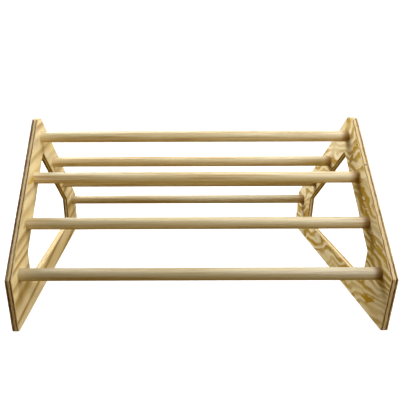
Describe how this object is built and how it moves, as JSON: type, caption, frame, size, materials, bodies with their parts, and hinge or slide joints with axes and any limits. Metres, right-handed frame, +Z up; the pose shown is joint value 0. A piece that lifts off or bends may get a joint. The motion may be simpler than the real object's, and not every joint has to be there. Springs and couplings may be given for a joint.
{
  "type": "a-frame rung climber",
  "caption": "Low free-standing A-frame climber: two house-shaped plywood end panels with windows, joined by round wooden rungs along both slopes.",
  "frame": {"origin": "on the floor, midway between the end panels and midway between front and back", "axes": "+X along the rungs towards the right panel, +Y from the front towards the back, +Z up"},
  "size_m": [0.996, 0.742, 0.51],
  "materials": {
    "plywood": "clear satin, softwood face veneer with amber growth-ring figure",
    "dowel_wood": "sanded, bare pale hardwood",
    "screw_steel": "zinc plated"
  },
  "bodies": {
    "root": {"left_panel": "plywood", "right_panel": "plywood", "rung_top": "dowel_wood", "rung_front_upper": "dowel_wood", "rung_front_middle": "dowel_wood", "rung_front_lower": "dowel_wood", "rung_back_upper": "dowel_wood", "rung_back_middle": "dowel_wood", "rung_back_lower": "dowel_wood", "screw_left_top": "screw_steel", "screw_right_top": "screw_steel", "screw_left_front_upper": "screw_steel", "screw_right_front_upper": "screw_steel", "screw_left_front_middle": "screw_steel", "screw_right_front_middle": "screw_steel", "screw_left_front_lower": "screw_steel", "screw_right_front_lower": "screw_steel", "screw_left_back_upper": "screw_steel", "screw_right_back_upper": "screw_steel", "screw_left_back_middle": "screw_steel", "screw_right_back_middle": "screw_steel", "screw_left_back_lower": "screw_steel", "screw_right_back_lower": "screw_steel"}
  },
  "joints": []
}
